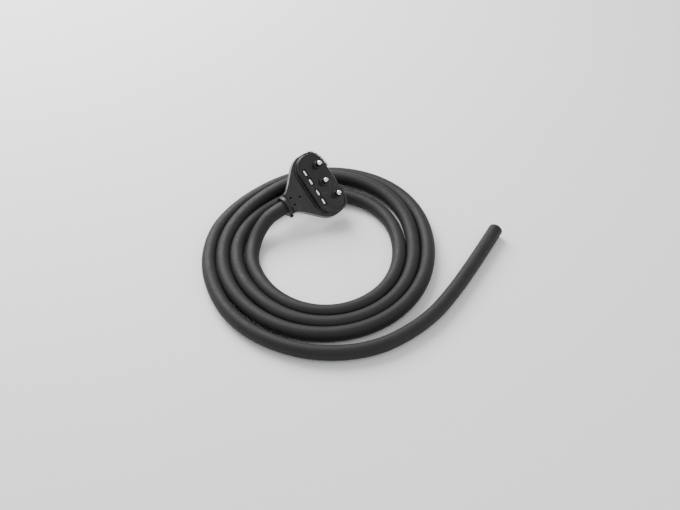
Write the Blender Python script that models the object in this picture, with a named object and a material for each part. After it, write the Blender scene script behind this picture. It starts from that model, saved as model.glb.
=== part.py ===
"""Pool cleaner: a flared suction head on a coiled length of thick black hose.

The hose lies in three flat turns, side by side, and its plain end leads away to the right.
The head stands on the coil with its sole up: four steel rollers and three steel ball casters.
Everything is in metres, +Z up.  The origin is on the floor, on the coil's flat underside,
below the middle of the head.  The head is drawn in its own axes: X across, Y from the neck
to the far edge, Z out of the sole, with zero on the hose's axis at the mouth of the neck.
"""

import math

import bmesh
import bpy
import numpy as np
from mathutils import Matrix, Vector

# ------------------------------------------------------------------ driving sizes, metres
GAP = 0.0003                     # between pieces that touch

HOSE_D = 0.025                   # outer diameter of the hose
HOSE_R = HOSE_D / 2

COIL_MIDDLE = (0.0175, -0.153)   # middle of the coil on the floor
COIL_STRETCH = 1.075             # how much longer the coil is along Y than across
NEST = 0.1                       # share of a diameter by which round turns sink into each other
# How far each turn's middle is from the coil's middle, in hose diameters, at eight points
# counted from the left and going round by the front, the right and the back.
TURN_RADII = (
    (5.06, 5.24, 5.42, 5.32, 5.09, 5.20, 5.18, 5.52),
    (6.10, 6.15, 6.29, 6.25, 6.08, 6.45, 6.45, 6.25),
    (7.03, 7.16, 7.15, 7.12, 7.08, 7.38, 7.24, 7.16),
    (7.98,),
)
# How far the second turn rides up on the third at the same eight points, in hose diameters.
RIDE_UP = (0.0, 0.0, 0.0, 0.0, 0.0, 0.25, 0.46, 0.45, 0.06)
LEAD_JOINS = 25.0                # degrees after the left point at which the lead meets the coil
SECTIONS = 48                    # round the coil's solid
STEP_ANGLE = 0.3                 # degrees over which the solid steps in or out by one turn
SQUARE_END = 0.006               # length over which the hose meets each step squarely

# Hand-laid route of the hose's loose end, in hose diameters from the coil's middle: along the
# coil's left and front, then off to the right.
TAIL_ROUTE = (
    (-7.89, -1.78),
    (-7.36, -3.72),
    (-6.36, -5.66),
    (-4.86, -7.28),
    (-3.00, -8.40),
    (-0.90, -9.06),
    (1.30, -9.13),
    (3.40, -8.64),
    (5.40, -7.48),
    (7.14, -5.84),
    (8.60, -3.88),
    (9.90, -1.78),
    (11.00, 0.12),
    (11.97, 1.83),
)

# Place and turn of the head.
NECK_MOUTH = (-2.98, 2.91, 1.60)   # in hose diameters from the coil's middle
HEAD_YAW = math.radians(39.6)    # its Y axis, from world +X towards +Y
HEAD_PITCH = math.radians(6.0)   # its far edge is raised
HEAD_ROLL = math.radians(38.8)   # its right lobe is lowered
# Hand-laid route of the hose from the neck down to the coil's first turn, in hose diameters.
LEAD_ROUTE = (
    (-3.86, 2.26, 1.41),
    (-4.32, 1.78, 1.14),
    (-4.67, 1.22, 0.86),
    (-4.91, 0.56, 0.62),
    (-5.03, -0.12, 0.52),
    (-5.05, -0.76, 0.50),
    (-4.97, -1.48, 0.50),
)

# Outline of the head.
BORE_R = HOSE_R + GAP
NECK_HALF = BORE_R + 0.0052      # half width of the neck
LOBE_HALF = 0.0612               # half width at the lobes
FLARE_START = 0.0040
FLARE_END = 0.0690
LOBE_MIDDLE = 0.0725             # where the far edge's round begins
HEAD_LENGTH = 0.1075
LOBE_POWER = 3.2                 # 2 would be an ellipse; more is squarer

# Levels above the hose's axis.
PARTING = 0.0035                 # top of the back shell
SEAL_THICK = 0.0010
PLATE_TOP = BORE_R + 0.0032
BOSS_RISE = 0.0110
BACK_DEPTH = 0.0065              # how far the back shell reaches below the axis
SHELL_WALL = 0.0035
ROOF = 0.0030

# The stadium-shaped boss that carries the running gear.
BOSS_NEAR = 0.0485
BOSS_FAR = 0.1020
BOSS_HALF = 0.0570
BOSS_WALL = 0.0035
SEAT_WALL = 0.0016
SOLE_THICK = 0.0026

# Running gear.
ROLLER_R = 0.0026
ROLLER_HALF = 0.0052
ROLLER_LINE = 0.0595             # Y of the rollers
ROLLER_SINK = 0.0016             # roller's axis below the sole's face
ROLLER_U = (-0.02925, -0.01125, 0.01125, 0.02925)
JOURNAL_R = 0.0008
JOURNAL_HALF = 0.0087
POCKET_HALF = 0.0074
POCKET_CLEAR = 0.0010
SLIT_HALF = 0.0005               # half width of the slit that joins the pockets
KEEPER_THICK = 0.0023
BALL_R = 0.0046
BALL_CLEAR = 0.0003
BALL_HEIGHT = 0.0125             # ball's middle above the sole's face
BALL_PLACES = ((-0.031, 0.0875), (0.0, 0.0800), (0.031, 0.0875))
CUP_R = 0.0054
CUP_FLANGE_R = 0.0075
CUP_FLANGE = 0.0017

# Neck: bore, adaptor, collar and screws.
NECK_START = 0.0010
HOSE_INSIDE = 0.0143             # how far the hose goes into the neck
ADAPTOR_END = 0.0335
ADAPTOR_R = BORE_R - GAP
ADAPTOR_BORE = 0.0095
BORE_END = 0.0340
STUB_R = BORE_R + 0.0038
COLLAR_WALL = 0.0017
COLLAR_LENGTH = 0.0068
SHOULDER = NECK_START + COLLAR_LENGTH + GAP   # where the shells' full outline begins
LUG_REACH = 0.0042
LUG_HALF = 0.0034
LUG_SLIT = 0.0012
O_RING_R = 0.00075
O_RING_AT = 0.0260
GRUB_R = 0.00195
GRUB_PLACES = ((0.0, 0.0310), (-0.0067, 0.0152), (0.0067, 0.0152))
SCREW_HEAD_R = 0.0032
SCREW_SHANK_R = 0.0014
PILLAR_R = 0.0045
NEAR_SCREWS = ((-0.0270, 0.0425), (0.0270, 0.0425))
SOLE_SCREWS = ((-0.0455, 0.0755), (0.0455, 0.0755))

# Bristle strips round the far corners.
STRIP_RISE = 0.0038
STRIP_SET_IN = 0.0006
STRIP_WIDTH = 0.0029
STRIP_FROM_Y = 0.0880
STRIP_FROM_X = 0.0200

FACE_BOTTOM = PARTING + GAP + SEAL_THICK + GAP
SOLE_TOP = PLATE_TOP + BOSS_RISE
SOLE_BOTTOM = SOLE_TOP - SOLE_THICK
ROLLER_LEVEL = SOLE_TOP - ROLLER_SINK
BALL_LEVEL = SOLE_TOP + BALL_HEIGHT


# ------------------------------------------------------------------ scene and materials
def clear_scene():
    for thing in list(bpy.data.objects):
        bpy.data.objects.remove(thing, do_unlink=True)


def material(name, colour, roughness, metallic=0.0):
    made = bpy.data.materials.new(name)
    made.use_nodes = True
    shader = made.node_tree.nodes["Principled BSDF"]
    shader.inputs["Base Color"].default_value = (*colour, 1.0)
    shader.inputs["Roughness"].default_value = roughness
    shader.inputs["Metallic"].default_value = metallic
    made.diffuse_color = (*colour, 1.0)
    return made


def on_floor(across, along, height):
    """A world point given in hose diameters from the coil's middle."""
    return Vector((
        COIL_MIDDLE[0] + across * HOSE_D,
        COIL_MIDDLE[1] + along * HOSE_D,
        height * HOSE_D,
    ))


def head_matrix():
    """The head's own axes and place in the world."""
    along = Vector((
        math.cos(HEAD_YAW) * math.cos(HEAD_PITCH),
        math.sin(HEAD_YAW) * math.cos(HEAD_PITCH),
        math.sin(HEAD_PITCH),
    ))
    level = along.cross(Vector((0, 0, 1))).normalized()
    upright = level.cross(along)
    across = math.cos(HEAD_ROLL) * level - math.sin(HEAD_ROLL) * upright
    out = math.sin(HEAD_ROLL) * level + math.cos(HEAD_ROLL) * upright
    turn = Matrix((across, along, out)).transposed().to_4x4()
    return Matrix.Translation(on_floor(*NECK_MOUTH)) @ turn


# ------------------------------------------------------------------ mesh tools
def add_object(name, bm, finish, parent=None, at=(0, 0, 0), smooth_angle=35.0):
    """Turn a bmesh into an object, smooth on its round sides."""
    bmesh.ops.recalc_face_normals(bm, faces=bm.faces)
    mesh = bpy.data.meshes.new(name)
    bm.to_mesh(mesh)
    bm.free()
    mesh.shade_smooth()
    mesh.set_sharp_from_angle(angle=math.radians(smooth_angle))
    thing = bpy.data.objects.new(name, mesh)
    bpy.context.scene.collection.objects.link(thing)
    thing.parent = parent
    thing.location = at
    if finish is not None:
        mesh.materials.append(finish)
    return thing


def lofted(loops, closed=False):
    """A solid through loops with equally many points; closed joins the last loop to the first."""
    bm = bmesh.new()
    rings = [[bm.verts.new(point) for point in loop] for loop in loops]
    pairs = list(zip(rings, rings[1:]))
    if closed:
        pairs.append((rings[-1], rings[0]))
    else:
        bm.faces.new(list(reversed(rings[0])))
        bm.faces.new(rings[-1])
    for low, high in pairs:
        count = len(low)
        for i in range(count):
            j = (i + 1) % count
            bm.faces.new((low[i], low[j], high[j], high[i]))
    return bm


def turned(profile, steps, axis="Z", centre=(0, 0, 0)):
    """A turned solid from (radius, height) points: closed off the axis, or ending on it."""
    bm = bmesh.new()
    verts = [bm.verts.new((radius, 0, height)) for radius, height in profile]
    edges = [bm.edges.new(pair) for pair in zip(verts, verts[1:])]
    if profile[0][0] > 0:
        edges.append(bm.edges.new((verts[-1], verts[0])))
    bmesh.ops.spin(bm, geom=verts + edges, cent=(0, 0, 0), axis=(0, 0, 1),
                   angle=math.tau, steps=steps, use_merge=True)
    bmesh.ops.remove_doubles(bm, verts=bm.verts, dist=1e-6)
    turn = {
        "Z": Matrix.Identity(3),
        "X": Matrix.Rotation(math.radians(90), 3, "Y"),
        "Y": Matrix.Rotation(math.radians(-90), 3, "X"),
    }[axis]
    bmesh.ops.rotate(bm, verts=bm.verts, cent=(0, 0, 0), matrix=turn)
    bmesh.ops.translate(bm, verts=bm.verts, vec=centre)
    return bm


def cylinder(radius, low, high, steps=24, axis="Z", centre=(0, 0, 0)):
    profile = [(0, low), (radius, low), (radius, high), (0, high)]
    return turned(profile, steps, axis, centre)


def box(low, high):
    corners = [(low[0], low[1]), (high[0], low[1]), (high[0], high[1]), (low[0], high[1])]
    return prism(corners, low[2], high[2])


def prism(loop, low, high):
    return lofted([[(x, y, z) for x, y in loop] for z in (low, high)])


def stacked(loop, steps):
    """A solid whose outline is moved in by a distance at each level: steps of (level, inset)."""
    return lofted([[(x, y, z) for x, y in inset(loop, by)] for z, by in steps])


def inset(loop, distance):
    """The outline moved inwards by a distance, its corners mitred."""
    points = np.array(loop, float)
    ahead = np.roll(points, -1, axis=0) - points
    ahead /= np.linalg.norm(ahead, axis=1)[:, None]
    behind = np.roll(ahead, 1, axis=0)
    normal_ahead = np.stack([-ahead[:, 1], ahead[:, 0]], axis=1)
    normal_behind = np.stack([-behind[:, 1], behind[:, 0]], axis=1)
    mitre = normal_ahead + normal_behind
    share = 1 + (normal_ahead * normal_behind).sum(axis=1)
    return (points + distance * mitre / share[:, None]).tolist()


def boolean(thing, other, operation):
    """Cut, join or trim with another object, which then stays only as a wire guide."""
    other.hide_render = True
    other.display_type = "WIRE"
    change = thing.modifiers.new(other.name, "BOOLEAN")
    change.operation = operation
    change.object = other
    change.solver = "EXACT"


def cut(thing, name, bm, parent):
    boolean(thing, add_object(name, bm, None, parent), "DIFFERENCE")


def join(thing, name, bm, parent):
    boolean(thing, add_object(name, bm, None, parent), "UNION")


def smooth_route(points, spacing):
    """Evenly spaced points on the centripetal Catmull-Rom curve through a route's points."""
    route = [Vector(p) for p in points]
    route = [2 * route[0] - route[1]] + route + [2 * route[-1] - route[-2]]
    fine = []
    for a, b, c, d in zip(route, route[1:], route[2:], route[3:]):
        knots = [0.0]
        for start, end in ((a, b), (b, c), (c, d)):
            knots.append(knots[-1] + math.sqrt((end - start).length))
        t0, t1, t2, t3 = knots
        for t in np.linspace(t1, t2, 12, endpoint=False):
            ab = a * ((t1 - t) / (t1 - t0)) + b * ((t - t0) / (t1 - t0))
            bc = b * ((t2 - t) / (t2 - t1)) + c * ((t - t1) / (t2 - t1))
            cd = c * ((t3 - t) / (t3 - t2)) + d * ((t - t2) / (t3 - t2))
            abc = ab * ((t2 - t) / (t2 - t0)) + bc * ((t - t0) / (t2 - t0))
            bcd = bc * ((t3 - t) / (t3 - t1)) + cd * ((t - t1) / (t3 - t1))
            fine.append(abc * ((t2 - t) / (t2 - t1)) + bcd * ((t - t1) / (t2 - t1)))
    fine.append(route[-2])
    fine = np.array(fine)
    steps = np.linalg.norm(np.diff(fine, axis=0), axis=1)
    along = np.concatenate([[0], np.cumsum(steps)])
    at = np.linspace(0, along[-1], max(2, math.ceil(along[-1] / spacing) + 1))
    return np.stack([np.interp(at, along, fine[:, k]) for k in range(3)], axis=1)


def hose_tube(name, points, finish):
    """A stretch of hose as a round tube with flat ends."""
    data = bpy.data.curves.new(name, "CURVE")
    data.dimensions = "3D"
    data.bevel_depth = HOSE_R
    data.bevel_resolution = 4
    data.use_fill_caps = True
    spline = data.splines.new("POLY")
    spline.points.add(len(points) - 1)
    for place, point in zip(spline.points, points):
        place.co = (*point, 1.0)
    data.materials.append(finish)
    tube = bpy.data.objects.new(name, data)
    bpy.context.scene.collection.objects.link(tube)
    return tube


# ------------------------------------------------------------------ the hose
def periodic(values, degrees):
    """The value at a turn angle, on a smooth curve through values 45 degrees apart."""
    place = min(max(degrees / 45.0, 0.0), len(values) - 1.0)
    i = min(int(place), len(values) - 2)
    t = place - i
    low = values[max(i - 1, 0)]
    high = values[min(i + 2, len(values) - 1)]
    a, b = values[i], values[i + 1]
    slope_a, slope_b = (b - low) / 2, (high - a) / 2
    return (a * (2 * t**3 - 3 * t**2 + 1) + b * (3 * t**2 - 2 * t**3)
            + slope_a * (t**3 - 2 * t**2 + t) + slope_b * (t**3 - t**2))


def turn_radius(degrees):
    return periodic([r for turn in TURN_RADII for r in turn], degrees)


def coil_point(degrees, radius, height):
    """A point at a turn angle, with its radius and height in hose diameters."""
    angle = math.radians(180 + degrees)
    return on_floor(radius * math.cos(angle), COIL_STRETCH * radius * math.sin(angle), height)


def coil_section(degrees, inner, outer):
    """Outline of the coil's solid at one turn angle: flat below, raised where a turn rides up."""
    edge = 0.3
    crest = turn_radius(degrees + 360.0)
    raised = 1.0 + periodic(RIDE_UP, degrees)
    outline = (
        (inner, edge), (inner + edge, 0.0), (outer - edge, 0.0), (outer, edge),
        (outer, 1.0 - edge), (outer - edge, 1.0), (crest + 0.35, raised),
        (max(crest - 0.35, inner + 1.1 * edge), raised), (inner + edge, 1.0),
        (inner, 1.0 - edge),
    )
    return [coil_point(degrees, radius, height) for radius, height in outline]


def hose_coil(finish):
    """The three turns as one ring, with a step where the lead and the tail meet it."""
    side = 0.5 - NEST
    even = {i * 360.0 / SECTIONS for i in range(SECTIONS)}
    sections = []
    for degrees in sorted(even | {LEAD_JOINS, LEAD_JOINS + STEP_ANGLE, 360.0 - STEP_ANGLE}):
        before_lead = degrees <= LEAD_JOINS
        first = turn_radius(degrees + 360.0 * before_lead)
        last = turn_radius(degrees + 720.0)
        sections.append(coil_section(degrees, first - side, last + side))
    add_object("hose_coil", lofted(sections, closed=True), finish)


def ahead(degrees, distance):
    """A step along the turns, square to the coil's radius at a turn angle."""
    angle = math.radians(180 + degrees)
    step = Vector((-COIL_STRETCH * math.sin(angle), math.cos(angle), 0)).normalized()
    return step * distance


def hose_lead(finish):
    """The hose from its seat in the neck down to the step inside the coil."""
    head = head_matrix()
    inside = [head @ Vector((0, y, 0)) for y in (HOSE_INSIDE, 0.0, -0.012)]
    end = coil_point(LEAD_JOINS, turn_radius(LEAD_JOINS), 0.5)
    square = [end - ahead(LEAD_JOINS, GAP + SQUARE_END), end - ahead(LEAD_JOINS, GAP)]
    route = [on_floor(*place) for place in LEAD_ROUTE]
    points = smooth_route([*inside, *route, *square], 0.9 * HOSE_D)
    hose_tube("hose_lead", [*points[:-1], *square], finish)


def hose_tail(finish):
    """The loose end, from the step outside the coil to its plain cut end."""
    start = coil_point(0, TURN_RADII[3][0], 0.5)
    square = [start + ahead(0, GAP), start + ahead(0, GAP + SQUARE_END)]
    route = [on_floor(x, y, 0.5) for x, y in TAIL_ROUTE]
    points = smooth_route(square + route, 1.3 * HOSE_D)
    hose_tube("hose_tail", [*square, *points[1:]], finish)


# ------------------------------------------------------------------ outlines of the head
def half_width(y):
    """The paddle's half width on its flare: a smooth step from the neck to the lobes."""
    t = min(max((y - FLARE_START) / (FLARE_END - FLARE_START), 0.0), 1.0)
    return NECK_HALF + (LOBE_HALF - NECK_HALF) * (3 * t**2 - 2 * t**3)


def paddle_side(start):
    """The right-hand side of the paddle, from a given Y round to the left lobe's widest point."""
    flare = [(half_width(y), y) for y in np.linspace(start, FLARE_END, 9)]
    reach = HEAD_LENGTH - LOBE_MIDDLE
    cap = []
    for angle in np.linspace(0, math.pi, 25):
        cos, sin = math.cos(angle), math.sin(angle)
        across = math.copysign(abs(cos) ** (2 / LOBE_POWER), cos)
        cap.append((LOBE_HALF * across, LOBE_MIDDLE + reach * abs(sin) ** (2 / LOBE_POWER)))
    return flare + cap


def paddle_loop(start=SHOULDER):
    """The paddle's whole outline, counter-clockwise seen from the sole."""
    side = paddle_side(start)
    left = [(-half_width(y), y) for y in np.linspace(FLARE_END, start, 9)]
    return side + left


def stadium_loop(by=0.0, steps=12):
    """The boss's outline, moved in by a distance."""
    radius = (BOSS_FAR - BOSS_NEAR) / 2
    middle = (BOSS_FAR + BOSS_NEAR) / 2
    straight = BOSS_HALF - radius
    loop = []
    for side, turn in ((1, -90), (-1, 90)):
        for i in range(steps + 1):
            angle = math.radians(turn + 180.0 * i / steps)
            loop.append((side * straight + (radius - by) * math.cos(angle),
                         middle + (radius - by) * math.sin(angle)))
    return loop


def round_bar(radius, low_y, high_y, low_z, high_z, end_radius=None, steps=14):
    """A bar along Y: the part of a round bar that lies between two levels."""
    loops = []
    for y, r in ((low_y, radius), (high_y, end_radius or radius)):
        top = math.asin(min(max(high_z / r, -1.0), 1.0))
        bottom = math.asin(min(max(low_z / r, -1.0), 1.0))
        right = [bottom + (top - bottom) * i / steps for i in range(steps + 1)]
        arc = [(r * math.cos(a), y, r * math.sin(a)) for a in right]
        arc += [(-x, y, z) for x, y, z in reversed(arc)]
        if bottom <= -math.pi / 2 + 1e-6:
            del arc[0]
        if top >= math.pi / 2 - 1e-6:
            del arc[steps]
        loops.append(arc)
    return lofted(loops)


# ------------------------------------------------------------------ the head's shells
def back_shell(parent, finish):
    """The dished half that lies towards the coil, with the lower half of the neck."""
    loop = paddle_loop()
    dish = stacked(loop, (
        (-BACK_DEPTH, 0.0090), (-BACK_DEPTH + 0.0020, 0.0042), (-0.0010, 0.0008),
        (PARTING, 0.0),
    ))
    shell = add_object("back_shell", dish, finish, parent)
    barrel = round_bar(STUB_R, NECK_START, 0.046, -1, PARTING, end_radius=0.0095)
    join(shell, "guide_back_barrel", barrel, parent)
    bore = cylinder(BORE_R, NECK_START - 0.002, BORE_END, 32, "Y")
    cut(shell, "guide_back_bore", bore, parent)
    floor = -BACK_DEPTH + ROOF
    chamber = stacked(paddle_loop(BORE_END - SHELL_WALL - 0.001), (
        (floor, SHELL_WALL + 0.0050), (floor + 0.0025, SHELL_WALL + 0.0010),
        (PARTING + 0.001, SHELL_WALL),
    ))
    cut(shell, "guide_back_chamber", chamber, parent)
    for i, (x, y) in enumerate(NEAR_SCREWS + SOLE_SCREWS):
        pillar = cylinder(PILLAR_R, floor - 0.001, PARTING, 16, centre=(x, y, 0))
        join(shell, f"guide_back_pillar_{i}", pillar, parent)
        hole = turned([
            (0, -BACK_DEPTH - 0.004), (SCREW_HEAD_R + GAP, -BACK_DEPTH - 0.004),
            (SCREW_HEAD_R + GAP, floor), (SCREW_SHANK_R + GAP, floor),
            (SCREW_SHANK_R + GAP, PARTING + 0.002), (0, PARTING + 0.002),
        ], 16, centre=(x, y, 0))
        cut(shell, f"guide_back_hole_{i}", hole, parent)


def face_shell(parent, finish):
    """The flat paddle with its raised boss, and the upper half of the neck."""
    plate = stacked(paddle_loop(), (
        (FACE_BOTTOM, 0.0), (PLATE_TOP - 0.0018, 0.0), (PLATE_TOP - 0.0006, 0.0005),
        (PLATE_TOP, 0.0018),
    ))
    shell = add_object("face_shell", plate, finish, parent)
    boss = lofted([
        [(x, y, level) for x, y in stadium_loop(by)] for level, by in (
            (PLATE_TOP - 0.002, 0.0), (SOLE_TOP - 0.0014, 0.0), (SOLE_TOP - 0.0004, 0.0004),
            (SOLE_TOP, 0.0011),
        )
    ])
    join(shell, "guide_boss", boss, parent)
    stub = round_bar(STUB_R, NECK_START, SHOULDER + 0.004, FACE_BOTTOM, 1)
    join(shell, "guide_face_stub", stub, parent)
    bore = cylinder(BORE_R, NECK_START - 0.002, BORE_END, 32, "Y")
    cut(shell, "guide_face_bore", bore, parent)
    chamber = stacked(paddle_loop(BORE_END - SHELL_WALL - 0.001), (
        (FACE_BOTTOM - 0.001, SHELL_WALL), (PLATE_TOP - ROOF, SHELL_WALL),
    ))
    cut(shell, "guide_face_chamber", chamber, parent)
    well = prism(stadium_loop(BOSS_WALL), PLATE_TOP - ROOF - 0.001, SOLE_TOP - 0.001)
    cut(shell, "guide_boss_well", well, parent)
    seat = prism(stadium_loop(SEAT_WALL), SOLE_BOTTOM - GAP, SOLE_TOP + 0.002)
    cut(shell, "guide_sole_seat", seat, parent)
    for i, (x, y) in enumerate(NEAR_SCREWS):
        pillar = cylinder(PILLAR_R, FACE_BOTTOM, PLATE_TOP - ROOF + 0.001, 16,
                          centre=(x, y, 0))
        join(shell, f"guide_face_pillar_{i}", pillar, parent)
        hole = cylinder(SCREW_SHANK_R + GAP, FACE_BOTTOM - 0.001, 0.0115, 16,
                        centre=(x, y, 0))
        cut(shell, f"guide_face_hole_{i}", hole, parent)
    for i, (x, y) in enumerate(GRUB_PLACES):
        hole = cylinder(GRUB_R + GAP, 0.0, PLATE_TOP + 0.002, 16, centre=(x, y, 0))
        cut(shell, f"guide_grub_hole_{i}", hole, parent)


def shell_seal(parent, finish):
    """A thin seal that runs round between the shells, open at the neck."""
    outer = inset(paddle_loop(), 0.0010)
    inner = inset(paddle_loop(), 0.0025)
    strip = outer + inner[::-1]
    low = PARTING + GAP
    add_object("shell_seal", prism(strip, low, low + SEAL_THICK), finish, parent)


def sole_plate(parent, finish):
    """The plate that closes the boss, with its roller pockets and two screw pillars."""
    loop = stadium_loop(SEAT_WALL + GAP)
    plate = add_object("sole_plate", prism(loop, SOLE_BOTTOM, SOLE_TOP), finish, parent)
    for i, (x, y) in enumerate(SOLE_SCREWS):
        pillar = cylinder(PILLAR_R, FACE_BOTTOM, SOLE_BOTTOM + 0.001, 16, centre=(x, y, 0))
        join(plate, f"guide_sole_pillar_{i}", pillar, parent)
        hole = cylinder(SCREW_SHANK_R + GAP, FACE_BOTTOM - 0.001, 0.0195, 16,
                        centre=(x, y, 0))
        cut(plate, f"guide_sole_hole_{i}", hole, parent)
    half = ROLLER_R + POCKET_CLEAR
    for i, x in enumerate(ROLLER_U):
        pocket = box((x - POCKET_HALF, ROLLER_LINE - half, SOLE_BOTTOM - 0.001),
                     (x + POCKET_HALF, ROLLER_LINE + half, SOLE_TOP + 0.001))
        cut(plate, f"guide_pocket_{i}", pocket, parent)
    reach = ROLLER_U[-1] + JOURNAL_HALF + GAP
    slot = JOURNAL_R + GAP
    groove = box((-reach, ROLLER_LINE - slot, SOLE_BOTTOM - 0.001),
                 (reach, ROLLER_LINE + slot, ROLLER_LEVEL + slot))
    cut(plate, "guide_journal_groove", groove, parent)
    slit = box((ROLLER_U[0], ROLLER_LINE - SLIT_HALF, ROLLER_LEVEL),
               (ROLLER_U[-1], ROLLER_LINE + SLIT_HALF, SOLE_TOP + 0.001))
    cut(plate, "guide_slit_between", slit, parent)


def roller_keeper(parent, finish):
    """The strip under the sole that keeps the rollers' journals in their groove."""
    top = min(SOLE_BOTTOM, ROLLER_LEVEL - JOURNAL_R) - GAP
    reach = ROLLER_U[-1] + JOURNAL_HALF + 0.003
    near = BOSS_NEAR + BOSS_WALL + GAP
    far = 2 * ROLLER_LINE - near
    corner = 0.011
    loop = ((reach - corner, near), (reach, near + corner / 2), (reach, far),
            (-reach, far), (-reach, near + corner / 2), (corner - reach, near))
    keeper = add_object("roller_keeper", prism(loop, top - KEEPER_THICK, top), finish, parent)
    half = ROLLER_R + POCKET_CLEAR
    for i, x in enumerate(ROLLER_U):
        pocket = box((x - POCKET_HALF, ROLLER_LINE - half, top - KEEPER_THICK - 0.001),
                     (x + POCKET_HALF, ROLLER_LINE + half, top + 0.001))
        cut(keeper, f"guide_keeper_pocket_{i}", pocket, parent)


def bristle_strips(parent, finish):
    """Short bristles round the far corners, one strip at each lobe."""
    outer = inset(paddle_loop(), STRIP_SET_IN)
    inner = inset(paddle_loop(), STRIP_SET_IN + STRIP_WIDTH)
    keep = [i for i, (x, y) in enumerate(paddle_loop())
            if x > STRIP_FROM_X and y > STRIP_FROM_Y]
    strip = [outer[i] for i in keep] + [inner[i] for i in reversed(keep)]
    low = PLATE_TOP + GAP
    for name, side in (("bristle_strip_right", 1), ("bristle_strip_left", -1)):
        loop = [(side * x, y) for x, y in strip][::side]
        add_object(name, prism(loop, low, low + STRIP_RISE), finish, parent)


# ------------------------------------------------------------------ running gear
def rollers(parent, finish):
    """Four steel rollers in a row; each turns about its own axle, across the head."""
    profile = [
        (0, -JOURNAL_HALF), (JOURNAL_R, -JOURNAL_HALF), (JOURNAL_R, -ROLLER_HALF),
        (ROLLER_R - 0.0004, -ROLLER_HALF), (ROLLER_R, -ROLLER_HALF + 0.0005),
        (ROLLER_R, ROLLER_HALF - 0.0005), (ROLLER_R - 0.0004, ROLLER_HALF),
        (JOURNAL_R, ROLLER_HALF), (JOURNAL_R, JOURNAL_HALF), (0, JOURNAL_HALF),
    ]
    for i, x in enumerate(ROLLER_U):
        add_object(f"roller_{i + 1}", turned(profile, 20, "X"), finish, parent,
                   (x, ROLLER_LINE, ROLLER_LEVEL))


def sphere_arc(radius, low, high, steps):
    """Points of a ball's outline between two angles above its middle, in degrees."""
    angles = [math.radians(low + (high - low) * i / steps) for i in range(steps + 1)]
    return [(radius * math.cos(a), radius * math.sin(a)) for a in angles]


def ball_casters(parent, cup_finish, ball_finish, ring_finish):
    """Three ball casters: a cup on a stem, the steel ball, and the ring that holds it in."""
    seat = BALL_R + BALL_CLEAR
    base = SOLE_TOP + GAP - BALL_LEVEL
    split = -0.0004
    low_angle = math.degrees(math.asin(split / seat))
    cup = [(0, base), (CUP_FLANGE_R, base), (CUP_FLANGE_R, base + CUP_FLANGE),
           (CUP_R - 0.0006, base + CUP_FLANGE + 0.0008), (CUP_R, split - 0.0030),
           (CUP_R, split)]
    cup += [(r, z) for r, z in reversed(sphere_arc(seat, -89.9, low_angle, 7))][:-1]
    cup += [(0, -seat)]
    hold = split + GAP
    ring = [(CUP_R, hold), (CUP_R, 0.0013), (CUP_R - 0.0006, 0.0019)]
    top_angle = math.degrees(math.asin(0.0019 / seat))
    ring += list(reversed(sphere_arc(seat, math.degrees(math.asin(hold / seat)), top_angle, 3)))
    ball = [(0, -BALL_R)] + sphere_arc(BALL_R, -80, 80, 12) + [(0, BALL_R)]
    for i, (x, y) in enumerate(BALL_PLACES):
        at = (x, y, BALL_LEVEL)
        add_object(f"ball_cup_{i + 1}", turned(cup, 20), cup_finish, parent, at)
        add_object(f"ball_{i + 1}", turned(ball, 20), ball_finish, parent, at)
        add_object(f"ball_ring_{i + 1}", turned(ring, 20), ring_finish, parent, at)


# ------------------------------------------------------------------ neck and fasteners
def hose_adaptor(parent, finish, ring_finish):
    """The sleeve in the neck that the hose seats on, and the O-ring in its groove."""
    start = HOSE_INSIDE + GAP
    groove = O_RING_R + GAP
    floor = ADAPTOR_R - 2 * O_RING_R - GAP
    profile = [
        (ADAPTOR_BORE, start), (ADAPTOR_R, start), (ADAPTOR_R, O_RING_AT - groove),
        (floor, O_RING_AT - groove), (floor, O_RING_AT + groove),
        (ADAPTOR_R, O_RING_AT + groove), (ADAPTOR_R, ADAPTOR_END - 0.001),
        (ADAPTOR_R - 0.001, ADAPTOR_END), (ADAPTOR_BORE, ADAPTOR_END),
    ]
    add_object("hose_adaptor", turned(profile, 32, "Y"), finish, parent)
    middle = ADAPTOR_R - O_RING_R
    ring = [
        (middle + O_RING_R * math.cos(a), O_RING_AT + O_RING_R * math.sin(a))
        for a in (math.tau * i / 8 for i in range(8))
    ]
    add_object("adaptor_o_ring", turned(ring, 32, "Y"), ring_finish, parent)


def neck_collar(parent, finish, screw_finish):
    """The split band round the mouth of the neck, drawn up by one screw at its lug."""
    inner = STUB_R + GAP
    outer = inner + COLLAR_WALL
    end = NECK_START + COLLAR_LENGTH
    band = turned([(inner, NECK_START), (outer, NECK_START), (outer, end), (inner, end)], 40, "Y")
    collar = add_object("neck_collar", band, finish, parent)
    middle = (NECK_START + end) / 2
    lug = box((inner + 0.0004, middle - 0.0026, -LUG_HALF),
              (outer + LUG_REACH, middle + 0.0026, LUG_HALF))
    join(collar, "guide_lug", lug, parent)
    slit = box((0.012, NECK_START - 0.001, -LUG_SLIT / 2),
               (outer + LUG_REACH + 0.001, end + 0.001, LUG_SLIT / 2))
    cut(collar, "guide_slit", slit, parent)
    across = outer + LUG_REACH / 2
    hole = cylinder(0.0010 + GAP, -LUG_HALF - 0.001, LUG_HALF + 0.001, 12,
                    centre=(across, middle, 0))
    cut(collar, "guide_lug_hole", hole, parent)
    head = LUG_HALF + GAP
    screw = [(0, -LUG_HALF - 0.0010), (0.0010, -LUG_HALF - 0.0010), (0.0010, head),
             (0.0020, head), (0.0020, head + 0.0012), (0.0015, head + 0.0017),
             (0, head + 0.0017)]
    add_object("collar_screw", turned(screw, 16), screw_finish, parent, (across, middle, 0))


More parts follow.
